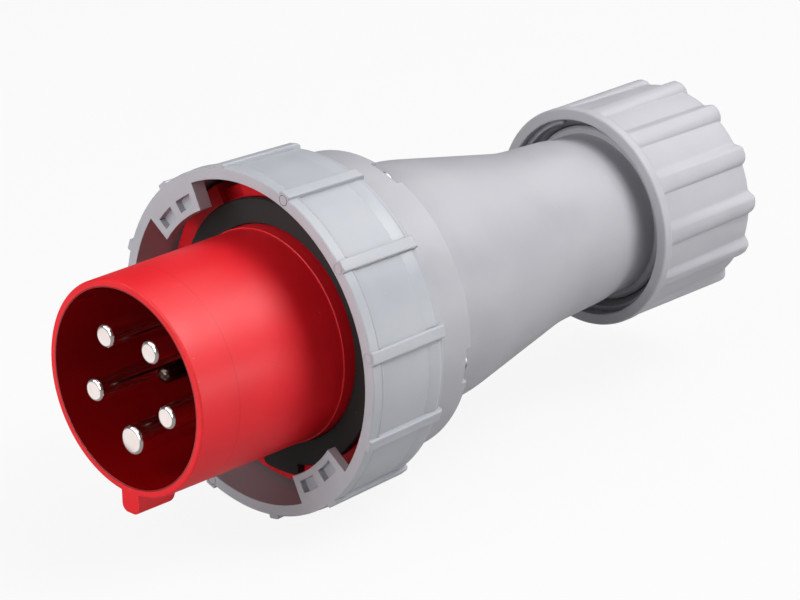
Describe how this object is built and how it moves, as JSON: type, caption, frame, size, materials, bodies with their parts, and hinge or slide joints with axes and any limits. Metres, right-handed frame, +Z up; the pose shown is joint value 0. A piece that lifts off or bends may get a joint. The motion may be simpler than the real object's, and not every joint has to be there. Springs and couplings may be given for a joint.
{
  "type": "industrial pin and sleeve plug",
  "caption": "Watertight pin and sleeve power plug with a red keyed shroud, contact pins, bayonet coupling ring, tapered grey housing and a ribbed cable gland nut.",
  "frame": {"origin": "middle of the plug's bounding box in X and Y, at the height of the coupling ring's lowest ribs", "axes": "+X along the plug's axis from the pins to the cable end, +Z up and away from the key, +Y to the side"},
  "size_m": [0.2564, 0.1164, 0.1165],
  "materials": {
    "red_polyamide": "moulded, semi-gloss",
    "grey_polyamide": "moulded, satin",
    "dark_polyamide": "moulded, satin",
    "white_polyamide": "moulded, satin",
    "black_rubber": "moulded, matt",
    "nickelled_brass": "turned and nickel plated",
    "zinced_steel": "zinc plated"
  },
  "bodies": {
    "plug_body": {"contact_carrier": "red_polyamide", "carrier_flange": "red_polyamide", "pin_l1": "nickelled_brass", "pin_l2": "nickelled_brass", "pin_l3": "nickelled_brass", "pin_neutral": "nickelled_brass", "pin_earth": "nickelled_brass", "pin_pilot": "nickelled_brass", "phase_terminal_screws": "zinced_steel", "earth_terminal_screws": "zinced_steel", "pilot_terminal_screw": "zinced_steel", "terminal_plate": "dark_polyamide", "plate_screws": "zinced_steel", "front_gasket": "black_rubber", "rear_housing": "grey_polyamide", "housing_seal": "black_rubber", "housing_screws": "zinced_steel", "clamp_cage": "white_polyamide", "cable_seal": "black_rubber"},
    "coupling_ring": {"coupling_ring": "grey_polyamide"},
    "slip_ring": {"slip_ring": "white_polyamide"},
    "gland_nut": {"gland_nut": "grey_polyamide"}
  },
  "joints": [
    {"name": "ring_turn", "type": "hinge", "parent": "plug_body", "child": "coupling_ring", "pos_m": [-0.06015, 0, 0.05824], "axis": [-1, 0, 0], "range_deg": [0, 45]},
    {"name": "nut_travel", "type": "slide", "parent": "plug_body", "child": "slip_ring", "axis": [1, 0, 0], "range_m": [0, 0.02]},
    {"name": "nut_turn", "type": "hinge", "parent": "slip_ring", "child": "gland_nut", "pos_m": [0.10385, 0, 0.05824], "axis": [1, 0, 0], "range_deg": [0, 1800]}
  ],
  "couplings": [
    {"joint": "nut_travel", "follows": "nut_turn", "m_per_rad": 0.0006366}
  ]
}
